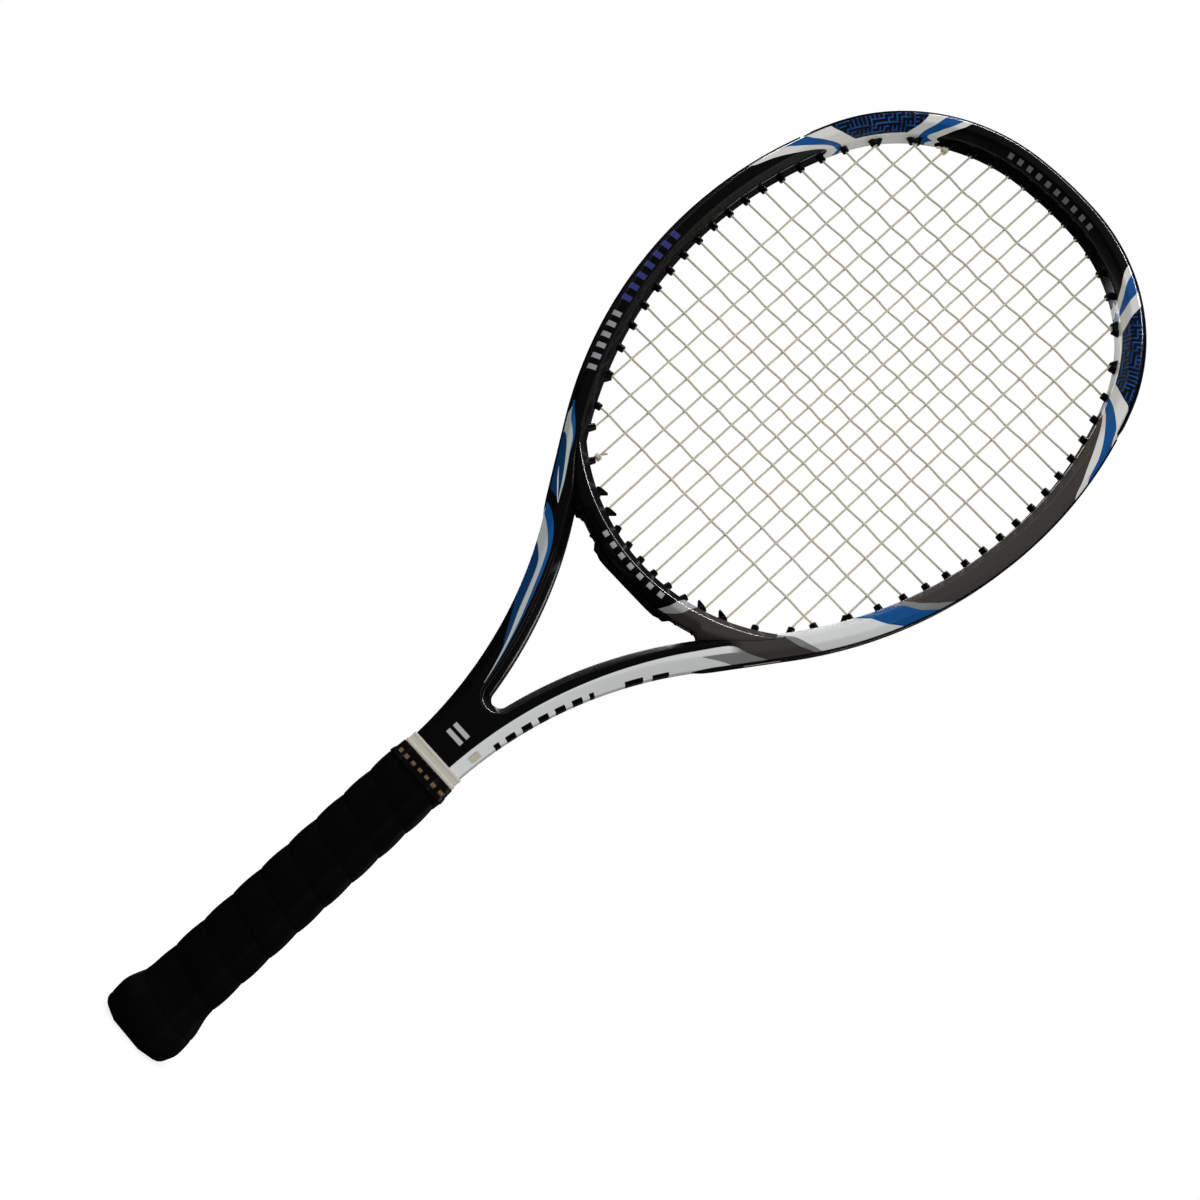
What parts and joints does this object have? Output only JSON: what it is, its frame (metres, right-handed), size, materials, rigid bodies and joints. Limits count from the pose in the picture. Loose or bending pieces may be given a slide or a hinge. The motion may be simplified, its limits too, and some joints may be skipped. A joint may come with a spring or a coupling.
{
  "type": "tennis racket",
  "caption": "Strung tennis racket with an oval head, open triangular throat and a wrapped, flared handle.",
  "frame": {"origin": "centre of the butt cap's end face", "axes": "+Z from the butt to the tip of the head, +X across the head in the string plane, +Y through the string bed"},
  "size_m": [0.2697, 0.0398, 0.6858],
  "materials": {
    "frame_lacquer": "gloss lacquer over carbon composite",
    "bridge_lacquer": "gloss lacquer over carbon composite",
    "grommet_nylon": "moulded nylon, satin",
    "string": "smooth synthetic string",
    "pallet_foam": "moulded structural foam",
    "cap_nylon": "moulded nylon, satin",
    "staple_steel": "drawn wire",
    "base_grip": "synthetic cushioned wrap",
    "tape": "adhesive vinyl tape",
    "overgrip": "thin tacky wrap with fine pores",
    "collar_rubber": "soft matt rubber",
    "label_vinyl": "satin vinyl"
  },
  "bodies": {
    "root": {"hairpin_frame": "frame_lacquer", "throat_bridge": "bridge_lacquer", "bumper_guard": "grommet_nylon", "grommet_strip_left": "grommet_nylon", "grommet_strip_right": "grommet_nylon", "throat_grommet_strip": "grommet_nylon", "winged_grommets": "grommet_nylon", "main_strings": "string", "cross_strings": "string", "string_knots": "string", "handle_pallet": "pallet_foam", "butt_cap": "cap_nylon", "butt_staples": "staple_steel", "base_grip": "base_grip", "base_grip_tape": "tape", "overgrip": "overgrip", "finishing_tape": "tape", "grip_collar": "collar_rubber", "shaft_label": "label_vinyl"}
  },
  "joints": []
}
